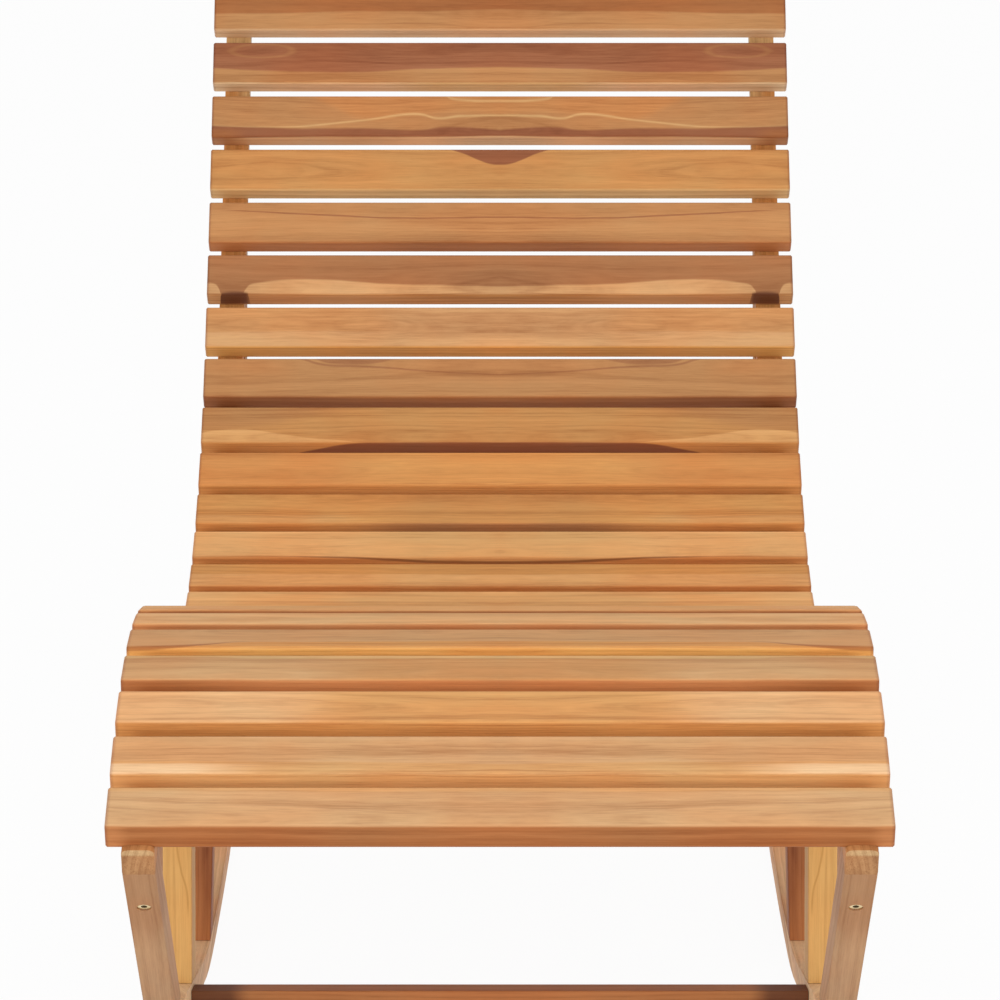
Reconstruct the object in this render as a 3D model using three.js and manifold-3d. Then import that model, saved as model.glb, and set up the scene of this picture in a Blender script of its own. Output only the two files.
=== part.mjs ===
// Rocking chaise lounge in teak: a slatted S-curved seat on two side frames that stand on rockers.
// Millimetres, +Z up, the foot end towards -Y. The origin is on the floor under the middle of the whole.
import * as THREE from 'three';
import { mergeVertices } from 'three/addons/utils/BufferGeometryUtils.js';
import Module from 'manifold-3d';

const wasm = await Module();
wasm.setup();

const degree = Math.PI / 180;

// Fits shared by all pieces
const clearance = 0.3;
const overrun = 6;

// Slats of the seat
const slatLong = 600;
const slatWide = 48;
const slatThick = 22;
const slatGap = 15;
const slatCount = 30;
const slatRound = 3;
const slatEase = 1.2;

// Seat curve: the top face of the side rails, from the foot end to the top of the back
const footHeight = 323.7;
const footReach = 859.8;
const footSlope = 22.6 * degree;
const footStraight = 91.3;
const kneeRadius = 546.6;
const thighSlope = -20.7 * degree;
const thighStraight = 252.7;
const seatRadius = 595.8;
const backSlope = 46.1 * degree;
const backRadius = 2186;

// Side rails
const railThick = 25.5;
const railDeep = 20;
const railInset = 12;
const railOverhang = 6.5;
const railLap = 70;
const railTenon = 14;
const noseRise = 4;
const noseRound = 5.5;
const lapShares = [0.4, 0.77];

// Front legs, bolted to a haunch under the front end of the rails
const legWide = 35;
const legSlope = 41.5 * degree;
const legSetback = 0.5;
const legTipRise = 92;
const haunchLong = 80;
const haunchCurve = 30;

// Uprights of each side frame: how far behind the foot end they stand, and how far they lean back
const frontPostReach = 438.8;
const frontPostLean = 12 * degree;
const frontPostWide = 50;
const seatStrutReach = 704.3;
const seatStrutLean = 36 * degree;
const seatStrutWide = 32;
const rearLegReach = 1333.7;
const rearLegLean = 17.5 * degree;
const rearLegWide = 44;
const tenonThick = 9;
const tenonShoulder = 7;

// Rockers: an arc that bends up into a straight ramp at each end
const rockerDeep = 21;
const rockerRadius = 4000;
const rockerBend = 215;
const rockerFacet = 60;
const rockerTail = 90;
const rockerTenon = 7;

// Stretchers between the rockers
const stretcherWide = 45;
const stretcherThick = 16;
const stretcherRise = 0.5;
const stretcherLead = 14;
const stretcherTenon = 6;

// Brass bolts with a hexagon socket
const boltRadius = 3;
const boltHeadRadius = 5.5;
const boltHeadThick = 4;
const boltSocketRadius = 2.5;
const boltSocketDeep = 2.4;
const boltSunk = 1;
const legBoltAt = 64.5;
const legBoltLong = 42;
const stretcherBoltLong = 55;
const boltSides = 18;
const socketSides = 6;

// Drawing accuracy of small curves
const cornerSteps = 3;
const haunchSteps = 8;

// Sizes worked out from the ones above
const slatPitch = slatWide + slatGap;
const railLong = railOverhang * 2 + slatPitch * (slatCount - 1) + slatWide;
const frameX = slatLong / 2 - railInset - railThick / 2;
const innerSpan = 2 * frameX - railThick;

// Stretches of the seat curve: length, and bend per length, plus where the curve turns upwards
const stretches = [
  { long: footStraight, bend: 0 },
  { long: (footSlope - thighSlope) * kneeRadius, bend: -1 / kneeRadius },
  { long: thighStraight, bend: 0 },
  { long: (backSlope - thighSlope) * seatRadius, bend: 1 / seatRadius },
  { long: Infinity, bend: 1 / backRadius },
];

// Place and slope of the seat curve at a distance along it
function onCurve(distance) {
  const place = { y: -footReach, z: footHeight, slope: footSlope };
  let left = distance;
  for (const { long, bend } of stretches) {
    const step = Math.min(left, long);
    const slope = place.slope + bend * step;
    if (bend === 0) {
      place.y += step * Math.cos(slope);
      place.z += step * Math.sin(slope);
    } else {
      place.y += (Math.sin(slope) - Math.sin(place.slope)) / bend;
      place.z += (Math.cos(place.slope) - Math.cos(slope)) / bend;
    }
    place.slope = slope;
    left -= step;
    if (left <= 0) break;
  }
  return place;
}

// Point of the side plane (y, z) that lies a given drop under the seat curve
function underCurve(distance, drop) {
  const { y, z, slope } = onCurve(distance);
  return new THREE.Vector2(y + drop * Math.sin(slope), z - drop * Math.cos(slope));
}

// Distances along the rail at which its outline has a corner: both edges of each slat's seat
function railStops(from, to, withMiddles) {
  const stops = [from];
  for (let i = 0; i < slatCount; i += 1) {
    const start = railOverhang + i * slatPitch;
    const inner = withMiddles ? [start, start + slatWide / 2, start + slatWide] : [start, start + slatWide];
    stops.push(...inner.filter((stop) => stop > from && stop < to));
  }
  stops.push(to);
  return stops;
}

// Outline of a stretch of rail between two drops under the seat curve
function railBand(from, to, top, bottom) {
  const upper = railStops(from, to, false).map((stop) => underCurve(stop, top));
  const lower = railStops(from, to, true).map((stop) => underCurve(stop, bottom));
  return [...upper, ...lower.reverse()];
}

// Line of a front leg's lower face, from the underside of the rail down to the tip
const legLine = {
  start: underCurve(legSetback, railDeep),
  along: new THREE.Vector2(Math.cos(legSlope), -Math.sin(legSlope)),
};
const legLong = (legLine.start.y - legTipRise) / Math.sin(legSlope);
const legTip = legLine.start.clone().addScaledVector(legLine.along, legLong);

// Height of the rocker's arc over the floor, on which its middle facet lies flat
function arcRise(y) {
  const atFacet = Math.sqrt(rockerRadius ** 2 - (rockerFacet / 2) ** 2);
  return atFacet - Math.sqrt(rockerRadius ** 2 - y ** 2);
}

// Sole of the rocker from its middle to one end: the arc's facets, the bend, and the ramp to the leg's tip
function halfSole() {
  const corners = [];
  const facets = Math.floor(rockerBend / rockerFacet);
  for (let i = 1; i <= facets; i += 1) {
    const y = (i - 1 / 2) * rockerFacet;
    corners.push(new THREE.Vector2(y, arcRise(y)));
  }
  const last = corners.pop();
  const bend = new THREE.Vector2(rockerBend, arcRise(rockerBend));
  const ramp = new THREE.Vector2(-legTip.x, legTip.y).sub(bend).normalize();
  const onRamp = bend.clone().addScaledVector(ramp, last.distanceTo(bend));
  const rounding = new THREE.QuadraticBezierCurve(last, bend, onRamp).getPoints(cornerSteps);
  return [...corners, ...rounding, bend.clone().addScaledVector(ramp, footReach)];
}

const rearSole = halfSole();
const sole = [...rearSole.map(({ x, y }) => new THREE.Vector2(-x, y)).reverse(), ...rearSole];

// Slope of the sole at each of its corners: the mean of the facets that meet there
const soleSlopes = sole.map((corner, index) => {
  const before = sole[Math.max(index - 1, 0)];
  const after = sole[Math.min(index + 1, sole.length - 1)];
  const turns = [[before, corner], [corner, after]]
    .filter(([a, b]) => a !== b)
    .map(([a, b]) => Math.atan2(b.y - a.y, b.x - a.x));
  return turns.reduce((sum, turn) => sum + turn, 0) / turns.length;
});

// Slope of the sole at a distance behind its middle
function soleSlope(y) {
  const next = sole.findIndex((corner) => corner.x > y);
  const share = (y - sole[next - 1].x) / (sole[next].x - sole[next - 1].x);
  return THREE.MathUtils.lerp(soleSlopes[next - 1], soleSlopes[next], share);
}

// Point of the side plane on the rocker, over a place of its sole and at a rise above it
function onRocker(y, rise) {
  const next = sole.findIndex((corner) => corner.x > y);
  const share = (y - sole[next - 1].x) / (sole[next].x - sole[next - 1].x);
  const slope = soleSlope(y);
  const point = sole[next - 1].clone().lerp(sole[next], share);
  return point.addScaledVector(new THREE.Vector2(-Math.sin(slope), Math.cos(slope)), rise);
}

// Outline of a stretch of rocker between two rises above its sole
function rockerBand(from, to, low, high) {
  const places = [from, ...sole.map(({ x }) => x).filter((y) => y > from && y < to), to];
  const under = places.map((y) => onRocker(y, low));
  const over = places.map((y) => onRocker(y, high));
  return [...under, ...over.reverse()];
}

// Geometry as a solid that can be cut and joined
function solid(geometry) {
  const bare = new THREE.BufferGeometry();
  bare.setAttribute('position', geometry.getAttribute('position'));
  if (geometry.index) bare.setIndex(geometry.index);
  const merged = mergeVertices(bare);
  return new wasm.Manifold(new wasm.Mesh({
    numProp: 3,
    vertProperties: new Float32Array(merged.getAttribute('position').array),
    triVerts: new Uint32Array(merged.index.array),
  }));
}

// Solid as a flat-shaded geometry
function shape(body) {
  const mesh = body.getMesh();
  const geometry = new THREE.BufferGeometry();
  geometry.setAttribute('position', new THREE.BufferAttribute(new Float32Array(mesh.vertProperties), 3));
  geometry.setIndex(new THREE.BufferAttribute(new Uint32Array(mesh.triVerts), 1));
  const faceted = geometry.toNonIndexed();
  faceted.computeVertexNormals();
  return faceted;
}

// Board of the side plane: an outline in (y, z), as thick as given, centred on x
function board(outline, thick, x = 0) {
  const points = THREE.ShapeUtils.isClockWise(outline) ? [...outline].reverse() : outline;
  const geometry = new THREE.ExtrudeGeometry(new THREE.Shape(points), { depth: thick, bevelEnabled: false });
  const toSidePlane = new THREE.Matrix4().makeBasis(
    new THREE.Vector3(0, 1, 0),
    new THREE.Vector3(0, 0, 1),
    new THREE.Vector3(1, 0, 0),
  );
  geometry.applyMatrix4(toSidePlane);
  geometry.translate(x - thick / 2, 0, 0);
  return solid(geometry);
}

// Strip of the side plane along a direction: from a start, over a length, between two offsets to its left
function strip(start, along, long, near, far) {
  const aside = new THREE.Vector2(-along.y, along.x);
  const corner = (reach, offset) => start.clone()
    .addScaledVector(along, reach)
    .addScaledVector(aside, offset);
  return [corner(0, near), corner(long, near), corner(long, far), corner(0, far)];
}

// Uprights, with the place of each head on the rail
function upright(name, reach, lean, wide) {
  const at = reach - footReach;
  const foot = onRocker(at, rockerDeep);
  const along = new THREE.Vector2(Math.sin(lean), Math.cos(lean));
  let before = 0;
  let after = railLong;
  while (after - before > clearance / 10) {
    const middle = (before + after) / 2;
    const toRail = underCurve(middle, railDeep).sub(foot);
    if (along.cross(toRail) > 0) before = middle;
    else after = middle;
  }
  const long = underCurve(after, railDeep).sub(foot).dot(along);
  return { name, foot, along, long, wide, headAt: after, at };
}

const frontPost = upright('front_post', frontPostReach, frontPostLean, frontPostWide);
const seatStrut = upright('seat_strut', seatStrutReach, seatStrutLean, seatStrutWide);
const rearLeg = upright('rear_leg', rearLegReach, rearLegLean, rearLegWide);
const uprights = [frontPost, seatStrut, rearLeg];

// Ends of the rocker: the tip of the front leg, and the tail behind the rear leg
const rockerFront = legTip.x;
const rockerRear = rearLeg.at + rockerTail;

// Tenon block of an upright, from the rocker's mortise to the rail's, swollen by a fit on all sides
function tenonBlock({ foot, along, long, wide }, swell) {
  const start = foot.clone().addScaledVector(along, -rockerDeep);
  const whole = rockerDeep + long + railTenon + swell;
  const half = wide / 2 - tenonShoulder + swell;
  const block = board(strip(start, along, whole, -half, half), tenonThick + 2 * swell);
  const mortiseFloor = rockerDeep - rockerTenon - swell;
  return block.subtract(board(rockerBand(rockerFront, rockerRear, -rockerDeep, mortiseFloor), railThick));
}

// Region of the rail, thickened below by the fit, that the head of an upright or leg is cut to
function railRegion(from, to) {
  return board(railBand(from, to, -overrun, railDeep + clearance), railThick + 2 * overrun);
}

// Region under the rocker's top, raised by the fit, that a foot is cut to
function rockerRegion(from, to) {
  return board(rockerBand(from, to, -overrun, rockerDeep + clearance), railThick + 2 * overrun);
}

// Upright with shoulders cut to the rail and the rocker, and a tenon at each end
function uprightSolid(piece) {
  const { foot, along, long, wide, headAt } = piece;
  const start = foot.clone().addScaledVector(along, -wide);
  const blank = board(strip(start, along, long + 2 * wide, -wide / 2, wide / 2), railThick);
  const reach = 2 * wide;
  const aboveHead = railBand(headAt - reach, headAt + reach, -reach, railDeep + clearance);
  const underFoot = rockerBand(rockerFront, rockerRear, -reach, rockerDeep + clearance);
  return blank
    .subtract(board(aboveHead, 2 * railThick))
    .subtract(board(underFoot, 2 * railThick))
    .add(tenonBlock(piece, 0));
}

// Centre line of the bolt that holds a front leg to its haunch
const legBolt = {
  start: legLine.start.clone().addScaledVector(legLine.along, legBoltAt),
  into: new THREE.Vector2(Math.sin(legSlope), Math.cos(legSlope)),
};

// Round cutter for a sunk bolt, head end at the origin, pointing along +Y
function boltBore(long) {
  const hole = boltRadius + clearance;
  const recess = boltHeadRadius + clearance;
  const seat = boltSunk + boltHeadThick;
  const profile = [
    new THREE.Vector2(0, -overrun),
    new THREE.Vector2(recess, -overrun),
    new THREE.Vector2(recess, seat),
    new THREE.Vector2(hole, seat),
    new THREE.Vector2(hole, seat + long + clearance),
    new THREE.Vector2(0, seat + long + clearance),
  ];
  return new THREE.LatheGeometry(profile, boltSides);
}

// Bolt with a hexagon socket, its head sunk under the face at the origin, pointing along +Y
function boltGeometry(long) {
  const seat = boltSunk + boltHeadThick - clearance;
  const profile = [
    new THREE.Vector2(0, boltSunk),
    new THREE.Vector2(boltHeadRadius, boltSunk),
    new THREE.Vector2(boltHeadRadius, seat),
    new THREE.Vector2(boltRadius, seat),
    new THREE.Vector2(boltRadius, seat + long),
    new THREE.Vector2(0, seat + long),
  ];
  const r = boltSocketRadius;
  const socket = new THREE.CylinderGeometry(r, r, 2 * boltSocketDeep, socketSides);
  socket.translate(0, boltSunk, 0);
  return shape(solid(new THREE.LatheGeometry(profile, boltSides)).subtract(solid(socket)));
}

// Bore of the leg bolt, laid into the side plane
function legBore() {
  const bore = boltBore(legBoltLong);
  bore.rotateX(Math.PI / 2 - legSlope);
  bore.translate(0, legBolt.start.x, legBolt.start.y);
  return solid(bore);
}

// Haunch under the front end of the rail: its lower face takes the leg, its rear runs out in a curve
function haunchOutline() {
  const inside = new THREE.Vector2(-legLine.along.y, legLine.along.x);
  const face = (reach) => legLine.start.clone()
    .addScaledVector(legLine.along, reach)
    .addScaledVector(inside, legWide + clearance);
  const heel = face(haunchLong);
  const heelAt = legSetback + (heel.x - legLine.start.x) / Math.cos(footSlope);
  const corner = underCurve(heelAt, railDeep);
  const runOut = underCurve(heelAt + haunchCurve, railDeep);
  const rear = new THREE.QuadraticBezierCurve(heel, corner, runOut).getPoints(haunchSteps);
  const inRail = [heelAt + haunchCurve, heelAt].map((stop) => underCurve(stop, railDeep / 2));
  return [face(0), ...rear, ...inRail];
}

// Front leg: its head is cut to the rail, its foot to the rocker, and the bolt passes through
function frontLegSolid() {
  const blank = board(strip(legLine.start, legLine.along, legLong, 0, legWide), railThick);
  const foot = rockerRegion(rockerFront - rockerFacet, 0);
  return blank.subtract(railRegion(-overrun, haunchLong)).subtract(foot).subtract(legBore());
}

// Middles of the laps that join the rail's three lengths, each under a slat at a share of their count
const lapCentres = lapShares.map((share) => {
  const slatsBefore = Math.round(share * slatCount) - 1;
  return railOverhang + slatsBefore * slatPitch + slatWide / 2;
});

// Half of a lap that is cut away from a length of rail, on the side of x that is given
function lapCut(from, to, side) {
  const half = railThick / 2 + clearance / 2 + overrun;
  const x = side * (half / 2 - clearance / 2);
  return board(railBand(from, to, -overrun, railDeep + overrun), half, x);
}

// Rounded nose that rises at the front end of the rail and stops the first slat
function noseSolid() {
  const long = railOverhang - clearance;
  const outline = [];
  for (let i = 0; i <= cornerSteps; i += 1) {
    const turn = (Math.PI / 2) * (i / cornerSteps);
    const x = railThick / 2 - noseRound * (1 - Math.cos(turn));
    outline.push(new THREE.Vector2(x, noseRise * Math.sin(turn)));
  }
  outline.push(...outline.map(({ x, y }) => new THREE.Vector2(-x, y)).reverse());
  outline.push(new THREE.Vector2(-railThick / 2, -noseRise), new THREE.Vector2(railThick / 2, -noseRise));
  const geometry = new THREE.ExtrudeGeometry(new THREE.Shape(outline), { depth: long, bevelEnabled: false });
  const toRail = new THREE.Matrix4().makeBasis(
    new THREE.Vector3(-1, 0, 0),
    new THREE.Vector3(0, -Math.sin(footSlope), Math.cos(footSlope)),
    new THREE.Vector3(0, Math.cos(footSlope), Math.sin(footSlope)),
  );
  geometry.applyMatrix4(toRail);
  geometry.translate(0, -footReach, footHeight);
  return solid(geometry);
}

// One length of a side rail, in its plane, with outward on the side of x that is given
function railSolid(index, outward) {
  const isFirst = index === 0;
  const isLast = index === lapCentres.length;
  const from = isFirst ? 0 : lapCentres[index - 1] - railLap / 2;
  const to = isLast ? railLong : lapCentres[index] + railLap / 2;
  let body = board(railBand(from, to, 0, railDeep), railThick);
  if (!isFirst) body = body.subtract(lapCut(from - overrun, from + railLap + clearance, outward));
  if (!isLast) body = body.subtract(lapCut(to - railLap - clearance, to + overrun, -outward));
  if (isFirst) body = body.add(board(haunchOutline(), railThick)).add(noseSolid()).subtract(legBore());
  for (const piece of uprights) {
    if (piece.headAt > from && piece.headAt < to) body = body.subtract(tenonBlock(piece, clearance));
  }
  return body;
}

// Stretchers: where their middle sits on the rocker
const stretcherMiddle = stretcherRise + stretcherThick / 2;
const stretchers = [
  { name: 'front_stretcher', at: frontPost.at - stretcherLead },
  { name: 'rear_stretcher', at: rearLeg.at },
];

// Stub tenon of a stretcher, swollen by a fit, standing in for one side's mortise at x
function stretcherMortise({ at }, side) {
  const { x: y, y: z } = onRocker(at, stretcherMiddle);
  const long = 2 * (stretcherTenon + clearance);
  const wide = stretcherWide - 2 * tenonShoulder + 2 * clearance;
  const thick = stretcherThick - tenonShoulder + 2 * clearance;
  const block = new THREE.BoxGeometry(long, wide, thick);
  block.rotateX(soleSlope(at));
  block.translate(-side * railThick / 2, y, z);
  return solid(block);
}

// Bore of a stretcher's bolt, from the outer face of a side frame
function stretcherBore({ at }, side) {
  const { x: y, y: z } = onRocker(at, stretcherMiddle);
  const bore = boltBore(stretcherBoltLong);
  bore.rotateZ(side * Math.PI / 2);
  bore.translate(side * railThick / 2, y, z);
  return solid(bore);
}

// Rocker: its front end is cut flush with the leg's lower face, its rear end is rounded off
function rockerSolid(outward) {
  let body = board(rockerBand(rockerFront - rockerFacet, rockerRear, 0, rockerDeep), railThick);
  const before = strip(legLine.start, legLine.along, legLong + 2 * rockerFacet, -2 * rockerFacet, 0);
  body = body.subtract(board(before, 2 * railThick));
  const tail = onRocker(rockerRear, rockerDeep / 2);
  const tip = new THREE.CylinderGeometry(rockerDeep / 2, rockerDeep / 2, railThick, boltSides);
  tip.rotateZ(Math.PI / 2);
  tip.rotateX(soleSlope(rockerRear));
  tip.translate(0, tail.x, tail.y);
  body = body.add(solid(tip));
  for (const piece of uprights) body = body.subtract(tenonBlock(piece, clearance));
  for (const piece of stretchers) {
    body = body.subtract(stretcherMortise(piece, outward)).subtract(stretcherBore(piece, outward));
  }
  return body;
}

// Stretcher along x, centred on the origin, with a stub tenon and a bolt bore at each end
function stretcherSolid() {
  const shoulders = innerSpan - 2 * clearance;
  const bar = solid(new THREE.BoxGeometry(shoulders, stretcherWide, stretcherThick));
  const wide = stretcherWide - 2 * tenonShoulder;
  const thick = stretcherThick - tenonShoulder;
  let body = bar.add(solid(new THREE.BoxGeometry(innerSpan + 2 * stretcherTenon, wide, thick)));
  for (const side of [-1, 1]) {
    const bore = boltBore(stretcherBoltLong);
    bore.rotateZ(side * Math.PI / 2);
    bore.translate(side * (innerSpan / 2 + railThick), 0, 0);
    body = body.subtract(solid(bore));
  }
  return body;
}

// Slat: rounded long edges and eased ends, along x, its underside at z = 0
function slatGeometry() {
  const w = slatWide / 2 - slatEase;
  const h = slatThick - 2 * slatEase;
  const r = slatRound - slatEase;
  const section = new THREE.Shape();
  section.moveTo(r - w, 0);
  section.lineTo(w - r, 0);
  section.absarc(w - r, r, r, -Math.PI / 2, 0);
  section.absarc(w - r, h - r, r, 0, Math.PI / 2);
  section.absarc(r - w, h - r, r, Math.PI / 2, Math.PI);
  section.absarc(r - w, r, r, Math.PI, 3 * Math.PI / 2);
  const geometry = new THREE.ExtrudeGeometry(section, {
    depth: slatLong - 2 * slatEase,
    curveSegments: cornerSteps,
    bevelThickness: slatEase,
    bevelSize: slatEase,
    bevelSegments: 1,
  });
  geometry.rotateX(Math.PI / 2);
  geometry.rotateZ(Math.PI / 2);
  geometry.translate(-(slatLong / 2 - slatEase), 0, slatEase);
  return geometry;
}

// Finishes
function finish(color, roughness, metalness) {
  return new THREE.MeshStandardMaterial({ color, roughness, metalness });
}

function teak(tone) {
  return finish(tone, 0.55, 0);
}

function brass() {
  return finish('#c9a24a', 0.3, 1);
}

const honey = '#c08a4e';
const rose = '#a9714c';
const sand = '#c99a6b';
const dark = '#7d4a32';
const gold = '#cf9a55';

// Tones of the boards, repeated along the seat
const slatTones = [sand, honey, sand, rose, honey, sand, gold, honey, rose];

function named(name, geometry, material) {
  const mesh = new THREE.Mesh(geometry, material);
  mesh.name = name;
  return mesh;
}

// Slats, each on the chord between the two edges of its seat
function buildSlats() {
  const slats = new THREE.Group();
  for (let i = 0; i < slatCount; i += 1) {
    const start = railOverhang + i * slatPitch;
    const front = underCurve(start, -clearance);
    const rear = underCurve(start + slatWide, -clearance);
    const number = String(i + 1).padStart(2, '0');
    const slat = named(`slat_${number}`, slatGeometry(), teak(slatTones[i % slatTones.length]));
    slat.position.set(0, (front.x + rear.x) / 2, (front.y + rear.y) / 2);
    slat.rotation.x = Math.atan2(rear.y - front.y, rear.x - front.x);
    slats.add(slat);
  }
  return slats;
}

// Side frame on the left (-1) or the right (1), as seen from the foot end
function buildSideFrame(hand, side) {
  const frame = new THREE.Group();
  const railNames = ['rail_foot', 'rail_seat', 'rail_back'];
  railNames.forEach((name, index) => {
    frame.add(named(`${hand}_${name}`, shape(railSolid(index, side)), teak(sand)));
  });
  frame.add(named(`${hand}_front_leg`, shape(frontLegSolid()), teak(rose)));
  frame.add(named(`${hand}_rocker`, shape(rockerSolid(side)), teak(sand)));
  const tones = [gold, dark, honey];
  uprights.forEach((piece, index) => {
    frame.add(named(`${hand}_${piece.name}`, shape(uprightSolid(piece)), teak(tones[index])));
  });
  const bolt = named(`${hand}_leg_bolt`, boltGeometry(legBoltLong), brass());
  bolt.position.set(0, legBolt.start.x, legBolt.start.y);
  bolt.rotation.x = Math.PI / 2 - legSlope;
  frame.add(bolt);
  frame.position.x = side * frameX;
  return frame;
}

// Stretchers between the rockers, with a bolt at each end
function buildStretchers() {
  const group = new THREE.Group();
  for (const piece of stretchers) {
    const middle = onRocker(piece.at, stretcherMiddle);
    const bar = named(piece.name, shape(stretcherSolid()), teak(dark));
    bar.position.set(0, middle.x, middle.y);
    bar.rotation.x = soleSlope(piece.at);
    group.add(bar);
    for (const [hand, side] of [['left', -1], ['right', 1]]) {
      const bolt = named(`${hand}_${piece.name}_bolt`, boltGeometry(stretcherBoltLong), brass());
      bolt.position.set(side * (innerSpan / 2 + railThick), middle.x, middle.y);
      bolt.rotation.z = side * Math.PI / 2;
      group.add(bolt);
    }
  }
  return group;
}

const chaise = new THREE.Group();
chaise.add(buildSlats());
chaise.add(buildSideFrame('left', -1));
chaise.add(buildSideFrame('right', 1));
chaise.add(buildStretchers());

// From the line where the rockers stand to the middle between the foot end and the top of the back
const whole = new THREE.Box3().setFromObject(chaise, true);
chaise.position.y = -(whole.min.y + whole.max.y) / 2;

export default chaise;
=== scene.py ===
"""Rocking chaise lounge in teak: wood, brass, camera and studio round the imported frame."""

import math

import bpy
import numpy as np
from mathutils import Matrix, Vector
from mathutils.bvhtree import BVHTree


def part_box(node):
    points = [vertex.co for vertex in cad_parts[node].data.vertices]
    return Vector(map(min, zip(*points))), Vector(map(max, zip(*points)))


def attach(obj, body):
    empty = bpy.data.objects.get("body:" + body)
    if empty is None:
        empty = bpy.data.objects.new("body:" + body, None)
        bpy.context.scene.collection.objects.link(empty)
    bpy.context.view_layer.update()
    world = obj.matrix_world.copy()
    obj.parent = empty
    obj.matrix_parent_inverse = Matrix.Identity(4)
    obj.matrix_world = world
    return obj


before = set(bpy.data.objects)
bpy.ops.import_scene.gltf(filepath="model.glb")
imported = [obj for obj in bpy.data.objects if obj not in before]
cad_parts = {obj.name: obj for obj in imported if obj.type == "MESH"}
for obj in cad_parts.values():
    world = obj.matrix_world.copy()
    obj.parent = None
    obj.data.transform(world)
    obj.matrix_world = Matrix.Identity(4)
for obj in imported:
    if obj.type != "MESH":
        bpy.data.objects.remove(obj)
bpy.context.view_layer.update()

HANDS = ("left", "right")

# ---- Studio ---------------------------------------------------------------------------------

CAMERA_PLACE = (0.0, -4.4549, 1.4674)
CAMERA_PITCH = math.radians(13.43)
LENS = 180
SENSOR = 36
CLIP_END = 100

WHITE = (1, 1, 1)
WORLD_LIGHT = 0.6
FLOOR_TONE = (0.88, 0.88, 0.88)
FLOOR_GLOW = 0.955
FLOOR_HALF = 12

# Lamps: name, place, the point they face, width and height, watts
LAMPS = (
    ("top_light", (0, -0.7, 3.4), (0, 0, 0.4), (3.4, 2.4), 24),
    ("left_light", (-3.4, -4.6, 1.1), (0, -0.2, 0.4), (2.4, 2.0), 88),
    ("right_light", (3.4, -4.6, 1.1), (0, -0.2, 0.4), (2.4, 2.0), 88),
)


def make_camera():
    data = bpy.data.cameras.new("camera")
    data.lens = LENS
    data.sensor_width = SENSOR
    data.clip_end = CLIP_END
    camera = bpy.data.objects.new("camera", data)
    camera.location = CAMERA_PLACE
    camera.rotation_euler = (math.pi / 2 - CAMERA_PITCH, 0, 0)
    bpy.context.scene.collection.objects.link(camera)
    bpy.context.scene.camera = camera


def aim(obj, target):
    direction = Vector(target) - obj.location
    obj.rotation_euler = direction.to_track_quat("-Z", "Y").to_euler()


def make_lamp(name, place, target, size, watts):
    data = bpy.data.lights.new(name, "AREA")
    data.shape = "RECTANGLE"
    data.size, data.size_y = size
    data.energy = watts
    lamp = bpy.data.objects.new(name, data)
    lamp.location = place
    bpy.context.scene.collection.objects.link(lamp)
    aim(lamp, target)


# ---- Node trees -----------------------------------------------------------------------------

# Colour sockets of the Mix node, which has a set for each kind of value
MIX_SHARE, MIX_A, MIX_B, MIX_RESULT = 0, 6, 7, 2


class Tree:
    """Short way to write a node tree. node() gives back the new node, the others its output."""

    def __init__(self, tree):
        self.tree = tree

    def node(self, kind, values=(), **settings):
        node = self.tree.nodes.new("ShaderNode" + kind)
        for key, value in settings.items():
            setattr(node, key, value)
        for key, value in dict(values).items():
            self.feed(node.inputs[key], value)
        return node

    def feed(self, socket, value):
        if isinstance(value, bpy.types.NodeSocket):
            self.tree.links.new(value, socket)
        elif isinstance(value, tuple) and len(value) == 3 and socket.type == "RGBA":
            socket.default_value = (*value, 1)
        else:
            socket.default_value = value

    def math(self, operation, a, b=0.0, c=0.0):
        return self.node("Math", {0: a, 1: b, 2: c}, operation=operation).outputs[0]

    def add(self, a, b):
        return self.math("ADD", a, b)

    def sub(self, a, b):
        return self.math("SUBTRACT", a, b)

    def mul(self, a, b):
        return self.math("MULTIPLY", a, b)

    def mix(self, share, a, b, blend="MIX"):
        node = self.node("Mix", data_type="RGBA", blend_type=blend)
        for socket, value in ((MIX_SHARE, share), (MIX_A, a), (MIX_B, b)):
            self.feed(node.inputs[socket], value)
        return node.outputs[MIX_RESULT]

    def tint(self, tone, by):
        return self.mix(1.0, tone, by, "MULTIPLY")

    def length(self, a, b):
        return self.math("SQRT", self.add(self.mul(a, a), self.mul(b, b)))

    def dot(self, vector, axis):
        values = {0: vector, 1: tuple(axis)}
        return self.node("VectorMath", values, operation="DOT_PRODUCT").outputs["Value"]

    def spread(self, value, low, high, to_low=0.0, to_high=1.0, smooth=False):
        kind = "SMOOTHSTEP" if smooth else "LINEAR"
        values = {0: value, 1: low, 2: high, 3: to_low, 4: to_high}
        return self.node("MapRange", values, interpolation_type=kind).outputs[0]

    def noise(self, vector, scales, detail=2.0, rough=0.5):
        stretched = self.node("VectorMath", {0: vector, 1: scales}, operation="MULTIPLY")
        values = {"Vector": stretched.outputs[0], "Scale": 1.0, "Detail": detail, "Roughness": rough}
        return self.node("TexNoise", values).outputs[0]

    def curve(self, value, points, low, high):
        """Smooth curve through (place, height) points, for a value from 0 to 1."""
        node = self.node("FloatCurve", {"Value": value})
        line = node.mapping.curves[0]
        shares = [(x, (y - low) / (high - low)) for x, y in sorted(points)]
        if shares[0][0] > 0:
            shares.insert(0, (0, shares[0][1]))
        if shares[-1][0] < 1:
            shares.append((1, shares[-1][1]))
        line.points[0].location = shares[0]
        line.points[1].location = shares[-1]
        for share in shares[1:-1]:
            line.points.new(*share)
        node.mapping.update()
        return self.add(self.mul(node.outputs[0], high - low), low)


def new_material(name):
    material = bpy.data.materials.new(name)
    material.use_nodes = True
    material.node_tree.nodes.clear()
    return material, Tree(material.node_tree)


def close_material(tree, shader):
    tree.feed(tree.node("OutputMaterial").inputs["Surface"], shader)


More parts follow.
